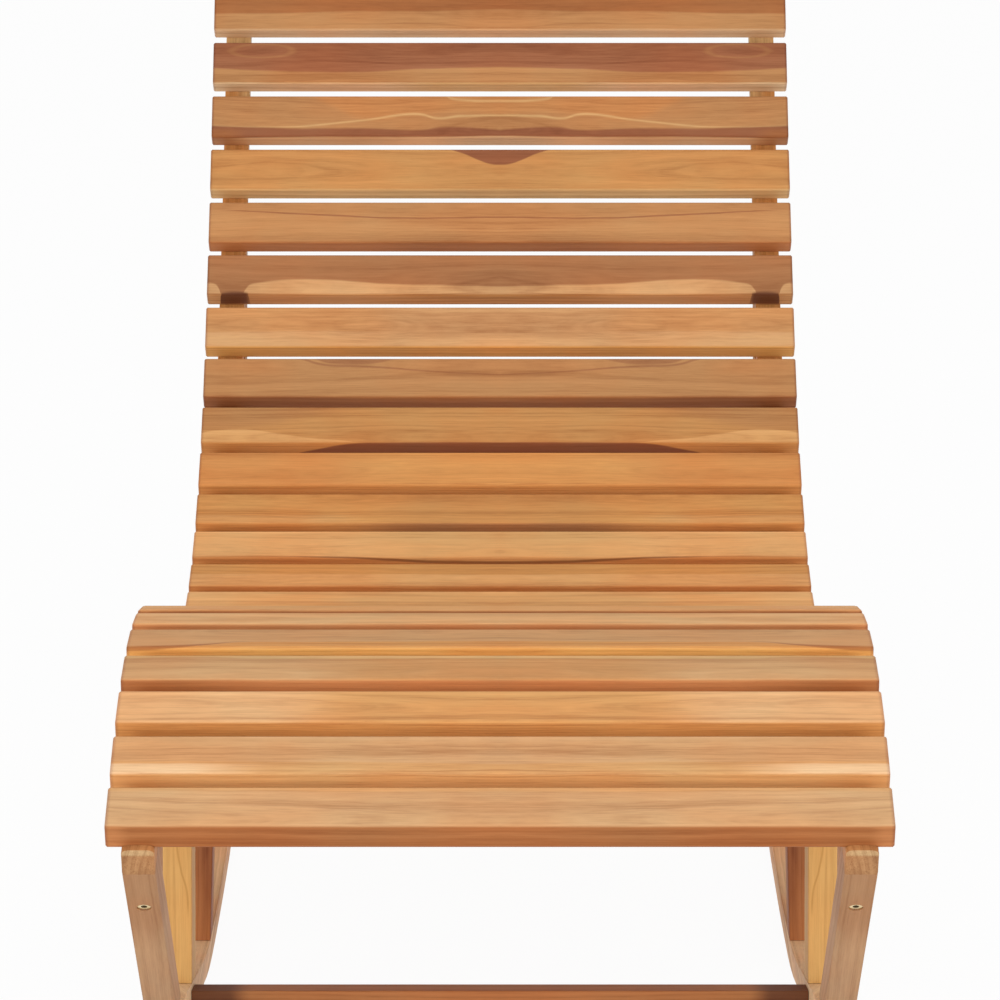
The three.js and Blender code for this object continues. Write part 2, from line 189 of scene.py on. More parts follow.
# ---- Wood -----------------------------------------------------------------------------------

# Tones of teak, from sapwood to dark heartwood
PEARL = (0.87, 0.59, 0.34)
ALMOND = (0.82, 0.49, 0.25)
PALE = (0.79, 0.39, 0.145)
CREAM = (0.74, 0.45, 0.19)
BUFF = (0.75, 0.395, 0.165)
SAFFRON = (0.83, 0.41, 0.115)
YOLK = (0.74, 0.36, 0.10)
STRAW = (0.70, 0.355, 0.13)
BLUSH = (0.66, 0.36, 0.165)
PEACH = (0.63, 0.33, 0.14)
SAND = (0.61, 0.295, 0.11)
FLAX = (0.63, 0.36, 0.12)
GOLD = (0.66, 0.29, 0.085)
AMBER = (0.61, 0.24, 0.07)
HONEY = (0.56, 0.255, 0.08)
TAN = (0.485, 0.22, 0.08)
FAWN = (0.50, 0.27, 0.13)
TAUPE = (0.42, 0.205, 0.09)
SIENNA = (0.54, 0.21, 0.073)
CLAY = (0.45, 0.175, 0.06)
ROSE = (0.385, 0.16, 0.061)
BROWN = (0.37, 0.13, 0.04)
RUST = (0.345, 0.122, 0.052)
RUSSET = (0.29, 0.10, 0.042)
COCOA = (0.17, 0.06, 0.025)

# Noise layers of the grain: how fast each changes along X, Y and Z, its detail and its roughness
LAYERS = {
    "sway": ((1.8, 6.0, 6.0), 2.0, 0.5),
    "ripple": ((14.0, 40.0, 40.0), 1.0, 0.5),
    "streak": ((1.3, 330.0, 150.0), 4.0, 0.66),
    "rings": ((0.7, 620.0, 90.0), 2.0, 0.6),
    "cloud": ((4.0, 20.0, 20.0), 3.0, 0.55),
    "dash": ((11.0, 300.0, 300.0), 2.0, 0.6),
    "thread": ((34.0, 800.0, 800.0), 2.0, 0.6),
    "fibre": ((42.0, 2600.0, 900.0), 2.0, 0.6),
    "fleck": ((170.0, 2400.0, 2400.0), 1.0, 0.5),
    "hue": ((9.0, 20.0, 20.0), 2.0, 0.5),
    "dots": ((20.0, 900.0, 900.0), 2.0, 0.7),
}
# How much each layer lightens or darkens the tone, and so do late wood and pores
SHADES = {"streak": 0.22, "cloud": 0.12, "dash": 0.05, "thread": 0.08, "fibre": 0.06}
LATE_SHADE = -0.17
PORE_SHADE = 0.10
# Ranges of a layer's noise: its usual one, and those where pores, late wood and dots set in
USUAL = (0.3, 0.7)
HUE_RANGE = (0.34, 0.66)
PORE_RANGE = (0.66, 0.74)
LATE_RANGE = (0.56, 0.72)
DOT_RANGE = (0.55, 0.7)
# How far the rings bend, in metres, and how much they slant
SWAY_BY = 0.016
RIPPLE_BY = 0.0012
RING_SLANT = 0.06

# Tints that a tone is multiplied by
WARMER = (1.02, 0.95, 0.90)
COOLER = (0.98, 1.045, 1.09)
DARKER = (0.60, 0.47, 0.40)
LIGHTER = (1.28, 1.36, 1.42)
CUT_TINT = (0.80, 0.84, 0.98)
DOT_TINT = (0.74, 0.68, 0.62)
HEART_TINT = (0.78, 0.72, 0.7)
# Painted shade at the rounded ends of the slats
END_SHADE_TINT = (0.74, 0.68, 0.78)
VEIN_TINT = (0.68, 0.60, 0.45)

SEED_STEP = 2.37
RELIEF_STRENGTH = 0.25
RELIEF_DEPTH = 0.0004
WOOD_SPECULAR = 0.15
# Roughness in the dark and in the pale streaks, and what a cut end adds
WOOD_ROUGH = (0.60, 0.50)
CUT_ROUGHER = 0.15


def grain_group():
    """Teak grain round a pith line along X: modulates a tone, with rings, streaks, fibres and pores."""
    group = bpy.data.node_groups.new("teak_grain", "ShaderNodeTree")
    face = group.interface
    face.new_socket("Place", in_out="INPUT", socket_type="NodeSocketVector")
    face.new_socket("Tone", in_out="INPUT", socket_type="NodeSocketColor")
    face.new_socket("Ends", in_out="INPUT", socket_type="NodeSocketFloat")
    face.new_socket("Wood", in_out="OUTPUT", socket_type="NodeSocketColor")
    face.new_socket("Roughness", in_out="OUTPUT", socket_type="NodeSocketFloat")
    face.new_socket("Relief", in_out="OUTPUT", socket_type="NodeSocketFloat")
    t = Tree(group)
    given = group.nodes.new("NodeGroupInput").outputs
    place = given["Place"]

    def layer(name, vector):
        return t.noise(vector, *LAYERS[name])

    parts = t.node("SeparateXYZ", {0: place}).outputs
    bend = t.add(t.mul(layer("sway", place), SWAY_BY), t.mul(layer("ripple", place), RIPPLE_BY))
    radius = t.add(t.length(parts[1], parts[2]), bend)
    flow = t.node("CombineXYZ", {0: parts[0], 1: radius, 2: t.mul(parts[1], RING_SLANT)}).outputs[0]
    streak = layer("streak", flow)
    fibre = layer("fibre", flow)
    pores = t.spread(layer("fleck", place), *PORE_RANGE)
    shade = t.mul(t.spread(layer("rings", flow), *LATE_RANGE, smooth=True), LATE_SHADE)
    shading = {
        "streak": streak,
        "cloud": layer("cloud", place),
        "dash": layer("dash", place),
        "thread": layer("thread", place),
        "fibre": fibre,
    }
    for name, strength in SHADES.items():
        shade = t.add(shade, t.spread(shading[name], *USUAL, -strength, strength))
    shade = t.sub(shade, t.mul(pores, PORE_SHADE))
    hue = t.spread(layer("hue", place), *HUE_RANGE)
    tone = t.mix(hue, t.tint(given["Tone"], WARMER), t.tint(given["Tone"], COOLER))
    share = t.spread(shade, -0.5, 0.5)
    low = t.mix(t.spread(share, 0.0, 0.5), t.tint(tone, DARKER), tone)
    wood = t.mix(t.spread(share, 0.5, 1.0), low, t.tint(tone, LIGHTER))
    cut = t.tint(wood, CUT_TINT)
    cut = t.mix(t.spread(layer("dots", place), *DOT_RANGE), cut, t.tint(cut, DOT_TINT))
    wood = t.mix(given["Ends"], wood, cut)
    relief = t.sub(t.add(t.mul(fibre, 0.5), t.mul(streak, 0.4)), t.mul(pores, 0.5))
    rough = t.add(t.spread(streak, *USUAL, *WOOD_ROUGH), t.mul(given["Ends"], CUT_ROUGHER))
    leaving = group.nodes.new("NodeGroupOutput").inputs
    for name, value in (("Wood", wood), ("Roughness", rough), ("Relief", relief)):
        group.links.new(value, leaving[name])
    return group


X_AXIS = (1, 0, 0)
# How squarely a surface must face along the grain to begin to be, and to be, a cut end
END_FACING = (0.72, 0.9)


def corners(node):
    """Vertices of a CAD node as rows of numbers."""
    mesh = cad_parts[node].data
    places = np.zeros(len(mesh.vertices) * 3, np.float32)
    mesh.vertices.foreach_get("co", places)
    return places.reshape(-1, 3).astype(float)


def side_axes(node):
    """Middle, long direction and short direction of a CAD node in the side plane (y, z)."""
    points = np.unique(corners(node).round(6), axis=0)[:, 1:]
    values, vectors = np.linalg.eigh(np.cov(points.T))
    along = vectors[:, 1]
    if along[0] < 0:
        along = -along
    across = np.array([-along[1], along[0]])
    middle = [(points @ a).min() / 2 + (points @ a).max() / 2 for a in (along, across)]
    return along * middle[0] + across * middle[1], along, across


def local_place(t, x_axis, y_axis, z_axis, origin):
    """Place in a board's own axes and the surface's direction. Both sides of the lounger share them."""
    coords = t.node("TexCoord").outputs
    parts = t.node("SeparateXYZ", {0: coords["Object"]}).outputs
    place = t.node("CombineXYZ", {0: t.math("ABSOLUTE", parts[0]), 1: parts[1], 2: parts[2]}).outputs[0]
    moved = t.node("VectorMath", {0: place, 1: origin}, operation="SUBTRACT").outputs[0]
    shares = [t.dot(moved, axis) for axis in (x_axis, y_axis, z_axis)]
    return shares, coords["Normal"]


def end_share(t, normal, axis):
    """1 where the surface is cut across the grain."""
    return t.spread(t.math("ABSOLUTE", t.dot(normal, axis)), *END_FACING)


def wood_shader(t, shares, tone, ends, seed, pith):
    """Principled wood from a board's own place, a tone and a seed that no two boards share."""
    shifted = t.node("CombineXYZ", {
        0: t.add(shares[0], seed * SEED_STEP),
        1: t.add(shares[1], pith[0]),
        2: t.add(shares[2], pith[1]),
    }).outputs[0]
    grain = t.node("Group", node_tree=GRAIN)
    for name, value in (("Place", shifted), ("Tone", tone), ("Ends", ends)):
        t.feed(grain.inputs[name], value)
    bump = t.node("Bump", {
        "Strength": RELIEF_STRENGTH,
        "Distance": RELIEF_DEPTH,
        "Height": grain.outputs["Relief"],
    })
    shader = t.node("BsdfPrincipled", {
        "Base Color": grain.outputs["Wood"],
        "Roughness": grain.outputs["Roughness"],
        "Normal": bump.outputs[0],
        "Specular IOR Level": WOOD_SPECULAR,
    })
    return shader.outputs[0]


# Figure of a slat: marks that lie on it, each given by q across the slat against the share of its
# half-length from the middle. q runs from 0 at the rear edge of the top face to 1 at its front
# edge, on to 1.46 at the bottom of the front edge, and to -0.46 at the bottom of the rear edge.
Q_LOW, Q_HIGH = -0.6, 1.8
# Lines that most marks start or end at: past the rear edge, at the front edge, and past its bottom
REAR, EDGE, UNDER = -0.6, 1.0, 1.7
# Noise that makes the marks wander, and by how much of q
WANDER = ((9.0, 0.8, 1.0), 3.0, 0.55)
Q_WANDER = 0.10
# Where the front edge's tone takes over, and where the painted shade at the slat's rounded ends begins
# along the slat
FRONT_FROM = (0.97, 1.03)
END_SHADE_FROM = (0.989, 0.997)
END_SHADE_SHARE = 0.8
# An eye's pale ring and dark heart, in shares of its radii
EYE_RING = 0.85
EYE_RING_WIDE = 0.2
EYE_HEART = (0.2, 0.6)
EYE_HEART_SHARE = 0.5


def edge_height(t, along, points):
    """Line along the slat: one height, or a curve through the points."""
    if isinstance(points, (int, float)):
        return points
    return t.curve(along, points, Q_LOW, Q_HIGH)


def stripe(t, tone_below, along, q, tone, top, bottom, soft=0.05, share=1.0, fade=None):
    """Lays a tone over the wood between two lines along the slat. fade: where it starts and is whole."""
    above = t.spread(t.sub(q, edge_height(t, along, top)), -soft, soft, 0, 1, True)
    below = t.spread(t.sub(edge_height(t, along, bottom), q), -soft, soft, 0, 1, True)
    mask = t.mul(t.mul(above, below), share)
    if fade:
        mask = t.mul(mask, t.spread(along, fade[0], fade[1], 0, 1, True))
    return t.mix(mask, tone_below, tone)


def eye(t, tone_below, along, q, tone, middle, radii, share=0.7):
    """Lays a thin pale ring with a darker heart over the wood, where the grain closes round a knot."""
    a = t.mul(t.sub(along, middle[0]), 1 / radii[0])
    b = t.mul(t.sub(q, middle[1]), 1 / radii[1])
    distance = t.length(a, b)
    from_ring = t.math("ABSOLUTE", t.sub(distance, EYE_RING))
    ring = t.spread(from_ring, 0.0, EYE_RING_WIDE, share, 0.0, True)
    heart = t.spread(distance, *EYE_HEART, EYE_HEART_SHARE, 0.0, True)
    ringed = t.mix(ring, tone_below, tone)
    return t.mix(heart, ringed, t.tint(ringed, HEART_TINT))


DRAW = {"stripe": stripe, "eye": eye}


def slat_material(number, spec):
    """Wood of a slat, with its figure. The grain's pith lies under it, at a place of its own."""
    node = f"slat_{number:02d}"
    material, t = new_material(f"teak_{node}")
    middle, along_width, across = side_axes(node)
    shares, normal = local_place(t, X_AXIS, (0, *along_width), (0, *across), (0, *middle))
    # q grows towards the foot end on top and underneath, and down the front edge
    depth = t.sub(SLAT_THICK / 2, shares[2])
    lean = t.mul(shares[1], 2 / SLAT_WIDE)
    wrapped = t.add(shares[1], t.mul(depth, lean))
    q = t.sub(0.5, t.mul(wrapped, 1 / SLAT_WIDE))
    along = t.mul(shares[0], 2 / SLAT_LONG)
    seed = number * SLAT_SEED
    drift = t.node("CombineXYZ", {0: t.add(shares[0], seed), 1: q, 2: seed}).outputs[0]
    wander = t.sub(t.noise(drift, *WANDER), 0.5)
    waved = t.add(q, t.mul(wander, Q_WANDER))
    face, front = spec["face"], spec["front"]
    tone = t.mix(t.spread(q, *FRONT_FROM), face, front)
    for mark in spec.get("marks", ()):
        kind, *rest, options = mark
        tone = DRAW[kind](t, tone, along, waved, *rest, **options)
    # Painted shade: the slat turns darker and greyer at its rounded ends
    end_shade = t.spread(along, *END_SHADE_FROM, 0, END_SHADE_SHARE, True)
    tone = t.mix(end_shade, tone, t.tint(tone, END_SHADE_TINT))
    ends = end_share(t, normal, X_AXIS)
    pith = (0.02 * math.sin(number * 2.1), 0.055 + 0.02 * math.cos(number * 1.3))
    close_material(t, wood_shader(t, shares, tone, ends, seed, pith))
    return material


BOARD_PITH = (0.03, 0.07)
# Noise that mixes a board's two tones, and the range in which it does
PATCHES = ((4.0, 40.0, 40.0), 2.0)
PATCH_RANGE = (0.35, 0.65)
# How far the veins' places reach along and across a board, how wide one is from its full share of
# the tone to none, and over what length it sets in
VEIN_REACH = 0.14
VEIN_SIDE = 0.015
VEIN_WIDE = (0.0003, 0.0013)
VEIN_SHARE = 0.55
VEIN_START = 0.015
# Where a stretcher's dark ends begin, from the middle of the lounger: they are a painted shadow of the
# legs
STRETCHER_SHADOW_FROM = (0.21, 0.232)


def vein(t, tone, shares, points, first):
    """Lays a thin dark grain line over a board: points are its places along and across the board."""
    along = t.spread(shares[0], -VEIN_REACH, VEIN_REACH)
    places = [((a + VEIN_REACH) / (2 * VEIN_REACH), b) for a, b in points]
    gap = t.math("ABSOLUTE", t.sub(shares[2], t.curve(along, places, -VEIN_SIDE, VEIN_SIDE)))
    mask = t.mul(t.spread(gap, *VEIN_WIDE, VEIN_SHARE, 0.0, True),
                 t.spread(shares[0], first, first + VEIN_START, 0, 1, True))
    return t.mix(mask, tone, t.tint(tone, VEIN_TINT))


def painted_highlight(t, tone, ends, low, high):
    """Makes the upper part of a cut end paler: a painted highlight where the top edge of the rail's nose
    catches the light.
    """
    height = t.node("SeparateXYZ", {0: t.node("TexCoord").outputs["Object"]}).outputs[2]
    return t.mix(t.mul(ends, t.spread(height, low, high, 0, 1, True)), tone, CREAM)


def board_material(name, node, tones, seed, drift, veins, highlight_heights):
    """Wood of a frame board: its grain runs along it, and its tone may drift that way."""
    material, t = new_material(name)
    middle, along, across = side_axes(node)
    low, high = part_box(node)
    x_middle = (abs(low[0]) + abs(high[0])) / 2
    grain_axis = (0, *along)
    shares, normal = local_place(t, grain_axis, (0, *across), X_AXIS, (x_middle, *middle))
    place = t.node("CombineXYZ", {0: t.add(shares[0], seed), 1: shares[1], 2: shares[2]}).outputs[0]
    drifted = t.mul(t.sub(shares[0], drift[1]), drift[0])
    patch = t.add(t.noise(place, *PATCHES), drifted)
    tone = t.mix(t.spread(patch, *PATCH_RANGE, 0, 1, True), *tones)
    for points, first in veins:
        tone = vein(t, tone, shares, points, first)
    ends = end_share(t, normal, grain_axis)
    # Painted highlight: the top of the cut end is made paler
    if highlight_heights:
        tone = painted_highlight(t, tone, ends, *highlight_heights)
    close_material(t, wood_shader(t, shares, tone, ends, seed, BOARD_PITH))
    return material


def stretcher_material(name, node, tones, seed):
    """Wood of a stretcher: its grain runs across the lounger, darker towards the ends, where the legs'
    shadow is painted.
    """
    material, t = new_material(name)
    middle, along, across = side_axes(node)
    shares, normal = local_place(t, X_AXIS, (0, *along), (0, *across), (0, *middle))
    # Painted shadow of the legs: the darker tone takes over towards the ends
    tone = t.mix(t.spread(shares[0], *STRETCHER_SHADOW_FROM, 0, 1, True), *tones)
    ends = end_share(t, normal, X_AXIS)
    close_material(t, wood_shader(t, shares, tone, ends, seed, BOARD_PITH))
    return material


BRASS = (0.88, 0.73, 0.43)
TARNISH = (0.70, 0.53, 0.26)
# Dark tone of the painted shade in the sockets of bolts and screws and round their rims
PAINTED_SHADE_TONE = (0.09, 0.055, 0.025)
TARNISH_LAYER = ((240.0, 240.0, 240.0), 3.0, 0.6)
TARNISH_RANGE = (0.35, 0.7)
SCRATCHES = ((2500.0, 300.0, 300.0), 2.0, 0.6)
SCRATCH_STRENGTH = 0.15
SCRATCH_DEPTH = 0.0001
# Roughness where the brass is bright and where it is tarnished, and what the painted shade adds
BRASS_ROUGH = (0.24, 0.40)
SHADE_ROUGHER = 0.3
# Radii between which the painted shade of a bolt's socket ends and that of its rim begins
BOLT_SOCKET = (0.0024, 0.0027)
BOLT_RIM = (0.0049, 0.0054)
SOCKET_SHADE = 0.8
RIM_SHADE = 0.55


def brass_material(node):
    """Brass of a bolt, with painted shade in its socket and round its rim."""
    material, t = new_material(f"brass_{node}")
    low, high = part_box(node)
    x_middle = (abs(low[0]) + abs(high[0])) / 2
    middle, _, across = side_axes(node)
    sides = (X_AXIS, (0, *across)) if "leg" in node else ((0, 1, 0), (0, 0, 1))
    shares, _ = local_place(t, *sides, (0, 0, 1), (x_middle, *middle))
    radius = t.length(shares[0], shares[1])
    # Painted shade: darker in the bolt's socket and in a ring round its rim
    socket = t.spread(radius, *BOLT_SOCKET, SOCKET_SHADE, 0.0, True)
    rim = t.spread(radius, *BOLT_RIM, 0.0, RIM_SHADE, True)
    close_material(t, brass_shader(t, t.math("MAXIMUM", socket, rim)))
    return material


def brass_shader(t, painted_shade):
    """Satin brass with a little tarnish, and painted shade where the share given is above 0."""
    coords = t.node("TexCoord").outputs["Object"]
    tarnish = t.noise(coords, *TARNISH_LAYER)
    tone = t.mix(t.spread(tarnish, *TARNISH_RANGE), BRASS, TARNISH)
    # The painted shade darkens the brass towards this dark tone
    tone = t.mix(painted_shade, tone, PAINTED_SHADE_TONE)
    bump = t.node("Bump", {
        "Strength": SCRATCH_STRENGTH,
        "Distance": SCRATCH_DEPTH,
        "Height": t.noise(coords, *SCRATCHES),
    })
    shader = t.node("BsdfPrincipled", {
        "Base Color": tone,
        "Metallic": 1.0,
        "Roughness": t.add(t.spread(tarnish, *USUAL, *BRASS_ROUGH), t.mul(painted_shade, SHADE_ROUGHER)),
        "Normal": bump.outputs[0],
    })
    return shader.outputs[0]


# ---- Slats ----------------------------------------------------------------------------------

SLAT_LONG = 0.6
SLAT_WIDE = 0.048
SLAT_THICK = 0.022
SLAT_COUNT = 30
SLAT_SEED = 0.731

# By number, from 1 at the foot end to 30 at the top of the back: tone of the top face, tone of the
# front edge, and the marks in the order in which they are laid. The photo hides the slats left out.
SLATS = {
    # The pale front tones of slats 27 to 30 are painted light: they brighten these downward-facing front
    # edges as light from below would
    30: {"face": TAN, "front": ALMOND, "marks": [
        ("stripe", BROWN, REAR, [(0, 0.50), (0.35, 0.55), (0.6, 0.57), (1, 0.62)], {"soft": 0.03}),
    ]},
    29: {"face": TAN, "front": CREAM, "marks": [
        ("stripe", PEARL, EDGE, UNDER, {"soft": 0.03, "share": 0.8, "fade": (0.2, 0.45)}),
        ("stripe", RUST, REAR, [(0, 0.60), (0.28, 0.66), (0.52, 0.73), (0.73, 0.715), (1, 0.64)],
         {"soft": 0.03}),
        ("eye", TAN, (0.83, 0.22), (0.125, 0.19), {"share": 0.4}),
    ]},
    28: {"face": TAN, "front": ALMOND, "marks": [
        ("stripe", BLUSH, EDGE, UNDER, {"soft": 0.03, "share": 0.9, "fade": (0.2, 0.5)}),
        ("stripe", AMBER, REAR, [(0, 0.45), (0.26, 0.41), (0.45, 0.55), (0.6, 0.2), (0.8, -0.6)],
         {"soft": 0.12, "share": 0.5}),
        ("stripe", CREAM, [(0, 0.1), (0.1, 0.09), (0.17, 0.04), (0.2, -0.1)],
         [(0, 0.17), (0.1, 0.15), (0.17, 0.1), (0.2, -0.06)], {"soft": 0.03, "share": 0.5}),
        ("stripe", CREAM,
         [(0, 0.47), (0.14, 0.48), (0.22, 0.53), (0.27, 0.43), (0.33, 0.42), (0.45, 0.55), (0.7, 0.74)],
         [(0, 0.52), (0.14, 0.53), (0.22, 0.58), (0.27, 0.48), (0.33, 0.47), (0.45, 0.59), (0.7, 0.76)],
         {"soft": 0.03, "share": 0.7}),
        ("stripe", RUSSET, [(0, 0.84), (0.2, 0.77), (0.27, 0.83), (0.45, 0.80), (0.7, 0.80), (1, 0.75)],
         [(0, 0.99), (0.2, 1.01), (0.35, 1.03), (0.5, 1.02), (0.8, 1.04), (1, 1.14)], {"soft": 0.035}),
        ("stripe", BROWN, 0.84, 1.5, {"soft": 0.08, "share": 0.7, "fade": (0.86, 0.96)}),
    ]},
    27: {"face": HONEY, "front": CREAM, "marks": [
        ("stripe", RUSSET, REAR, [(0, 0.385), (0.03, 0.37), (0.07, 0.28), (0.12, 0.13), (0.17, 0.0),
                                  (0.2, -0.3), (0.26, -0.6)], {"soft": 0.02}),
    ]},
    26: {"face": TAN, "front": SIENNA, "marks": [
        ("stripe", CLAY, EDGE, UNDER, {"soft": 0.03, "share": 0.9, "fade": (0.5, 0.2)}),
        ("stripe", SAND, [(0, 0.4), (0.5, 0.38), (0.8, 0.3), (1, 0.25)], 0.8,
         {"soft": 0.12, "share": 0.3}),
        ("stripe", RUSSET, [(0, 0.365), (0.35, 0.385), (0.64, 0.32), (0.86, 0.22), (0.97, 0.2)],
         [(0, 0.395), (0.35, 0.415), (0.64, 0.355), (0.86, 0.24), (0.97, 0.2)],
         {"soft": 0.015, "share": 0.8}),
    ]},
    25: {"face": ROSE, "front": HONEY, "marks": [
        ("stripe", SAND, EDGE, UNDER, {"soft": 0.03, "share": 0.9, "fade": (0.2, 0.5)}),
        ("stripe", PEACH,
         [(0, 0.80), (0.3, 0.76), (0.84, 0.74), (0.87, 0.9), (0.885, 1.1), (0.94, 1.1), (0.96, 0.85),
          (0.98, 0.74), (1, 0.74)], EDGE, {"soft": 0.03}),
        ("stripe", COCOA, [(0.85, 1.6), (0.86, 0.98), (0.95, 0.98), (0.96, 1.6)], 1.4,
         {"soft": 0.05, "fade": (0.84, 0.87)}),
    ]},
    24: {"face": PEACH, "front": YOLK, "marks": [
        ("stripe", SAND, REAR, [(0, 0.66), (0.5, 0.63), (0.8, 0.64), (1, 0.66)],
         {"soft": 0.03, "share": 0.9, "fade": (0.25, 0.55)}),
    ]},
    23: {"face": TAN, "front": CLAY, "marks": [
        ("stripe", RUSSET, REAR, [(0.28, -0.1), (0.36, 0.05), (0.45, 0.16), (0.58, 0.14), (0.67, -0.1)],
         {"soft": 0.03, "share": 0.6, "fade": (0.3, 0.4)}),
        ("stripe", RUSSET, [(0, 0.42), (0.2, 0.36), (0.45, 0.2), (0.6, 0.15), (0.66, 0.02), (0.8, -0.3)],
         [(0, 0.44), (0.2, 0.39), (0.45, 0.25), (0.6, 0.2), (0.66, 0.08), (0.8, -0.3)],
         {"soft": 0.02, "share": 0.6}),
        ("stripe", RUSSET, [(0, 1.16), (0.3, 1.12), (0.6, 1.03), (0.9, 1.0), (1, 1.0)], UNDER,
         {"soft": 0.06, "share": 0.5}),
    ]},
    22: {"face": HONEY, "front": GOLD, "marks": [
        ("stripe", ROSE, REAR, [(0.4, -0.1), (0.65, 0.25), (0.85, 0.6), (1, 0.7)],
         {"soft": 0.2, "share": 0.5}),
        ("stripe", STRAW,
         [(0.45, 1.02), (0.52, 0.95), (0.63, 0.88), (0.74, 0.74), (0.84, 0.64), (0.95, 0.67), (1, 0.74)],
         EDGE, {"soft": 0.02, "share": 0.9}),
        ("stripe", RUSSET,
         [(0, 1.0), (0.4, 1.0), (0.5, 1.04), (0.6, 1.2), (0.69, 1.38), (0.75, 1.7)], UNDER,
         {"soft": 0.03}),
    ]},
    21: {"face": GOLD, "front": GOLD, "marks": [
        ("stripe", AMBER, REAR, EDGE, {"soft": 0.03, "share": 0.7, "fade": (0.3, 0.6)}),
    ]},
    20: {"face": GOLD, "front": GOLD, "marks": [
        ("stripe", HONEY, REAR, EDGE, {"soft": 0.03, "share": 0.8, "fade": (0.5, 0.2)}),
        ("stripe", STRAW, 0.74, EDGE, {"soft": 0.03, "share": 0.7, "fade": (0.4, 0.62)}),
        ("stripe", ROSE, EDGE, UNDER, {"soft": 0.03, "share": 0.95, "fade": (0.6, 0.22)}),
    ]},
    19: {"face": STRAW, "front": GOLD, "marks": [
        ("stripe", PALE, REAR, EDGE, {"soft": 0.03, "share": 0.9, "fade": (0.25, 0.55)}),
        ("stripe", AMBER, [(0, 1.14), (0.3, 1.1), (0.53, 1.0), (0.7, 0.96), (1, 0.98)], UNDER,
         {"soft": 0.03}),
        ("stripe", STRAW, EDGE, [(0, 1.1), (0.3, 1.06), (0.45, 1.0)], {"soft": 0.02, "share": 0.8}),
        ("stripe", COCOA, [(0, 1.1), (0.3, 1.06), (0.53, 0.98), (0.7, 0.97)],
         [(0, 1.17), (0.3, 1.12), (0.53, 1.02), (0.7, 0.98)], {"soft": 0.02, "share": 0.7}),
    ]},
    18: {"face": GOLD, "front": AMBER, "marks": [
        ("stripe", PALE, [(0, 0.52), (1, 0.48)], EDGE, {"soft": 0.04, "share": 0.9}),
    ]},
    17: {"face": PALE, "front": GOLD},
    7: {"face": PALE, "front": CLAY},
    6: {"face": BUFF, "front": SIENNA},
    5: {"face": PEACH, "front": SAFFRON, "marks": [
        ("stripe", GOLD,
         [(0, 0.70), (0.5, 0.72), (0.7, 0.76), (0.79, 0.9), (0.9, 1.02), (1, 1.05)], EDGE,
         {"soft": 0.03}),
        ("stripe", BROWN, [(0.7, 0.72), (0.79, 0.84), (0.9, 0.93), (1, 0.98)],
         [(0.7, 0.73), (0.79, 0.91), (0.9, 1.04), (1, 1.09)], {"soft": 0.03, "share": 0.8}),
    ]},
    4: {"face": PEACH, "front": SIENNA, "marks": [
        ("stripe", HONEY, REAR, EDGE, {"soft": 0.03, "share": 0.6, "fade": (0.55, 0.3)}),
        # The cream line along the rear top edge is a painted highlight
        ("stripe", CREAM, REAR, [(0, 0.15), (0.6, 0.15), (0.85, 0.11), (1, 0.17)],
         {"soft": 0.03, "share": 0.8}),
        ("stripe", BROWN, EDGE, Q_HIGH, {"soft": 0.03, "share": 0.7, "fade": (0.6, 0.85)}),
    ]},
    3: {"face": PALE, "front": GOLD, "marks": [
        ("stripe", GOLD, REAR, EDGE, {"soft": 0.03, "share": 0.6, "fade": (0.55, 0.3)}),
        ("stripe", ALMOND, REAR, EDGE, {"soft": 0.03, "share": 0.5, "fade": (0.4, 0.6)}),
    ]},
    2: {"face": BLUSH, "front": STRAW, "marks": [
        ("stripe", SAND, [(0, 0.2), (0.5, 0.1), (1, 0.0)], [(0, 0.4), (0.5, 0.66), (1, 0.68)],
         {"soft": 0.06, "share": 0.3}),
        ("stripe", STRAW, [(0, 0.75), (0.5, 0.7), (1, 0.68)], EDGE, {"soft": 0.03, "share": 0.8}),
        ("stripe", PEARL, 0.74, EDGE, {"soft": 0.03, "share": 0.8, "fade": (0.55, 0.85)}),
    ]},
    1: {"face": BLUSH, "front": BROWN, "marks": [
        ("stripe", STRAW, REAR, 0.12, {"soft": 0.04, "share": 0.7}),
        ("stripe", CLAY, [(0, 1.12), (0.4, 1.18), (0.7, 1.1), (1, 1.2)],
         [(0, 1.2), (0.4, 1.26), (0.7, 1.2), (1, 1.3)], {"soft": 0.04, "share": 0.6}),
        ("stripe", SIENNA, EDGE, UNDER, {"soft": 0.03, "share": 0.6, "fade": (0.93, 0.98)}),
    ]},
}
# Slats that the photo hides take turns with these
HIDDEN_FACES = [PEACH, STRAW, SAND, GOLD, HONEY, BLUSH, AMBER, STRAW, SAND]
HIDDEN_FRONTS = [SIENNA, GOLD, CLAY, AMBER, BROWN, SAND, CLAY, GOLD, SIENNA]


# ---- Frame boards ---------------------------------------------------------------------------

# The two tones of each kind of board
BOARDS = {
    "rail_foot": (SAND, TAN),
    "rail_seat": (HONEY, TAN),
    "rail_back": (GOLD, CREAM),
    "front_leg": (TAUPE, FAWN),
    # The rocker's pale tones are partly its own and partly painted light, for the bright light under the
    # seat
    "rocker": (PEARL, ALMOND),
    "front_post": (FLAX, FLAX),
    "seat_strut": (RUSSET, CLAY),
    "rear_leg": (HONEY, TAN),
}
# How fast the second tone gains along the board, and where both are even
# The rocker's drift is painted light: it turns the rocker paler towards the front, where the seat shades
# it
DRIFTS = {"front_leg": (3.0, -0.07), "rail_back": (1.2, 0.16), "rocker": (1.5, -0.1)}
# Dark grain lines: places along and across the board, and where the line sets in
VEINS = {"front_post": [
    ([(-0.10, -0.0095), (-0.068, -0.0092), (-0.043, -0.0035), (-0.02, 0), (0.05, 0.002)], -0.085),
]}
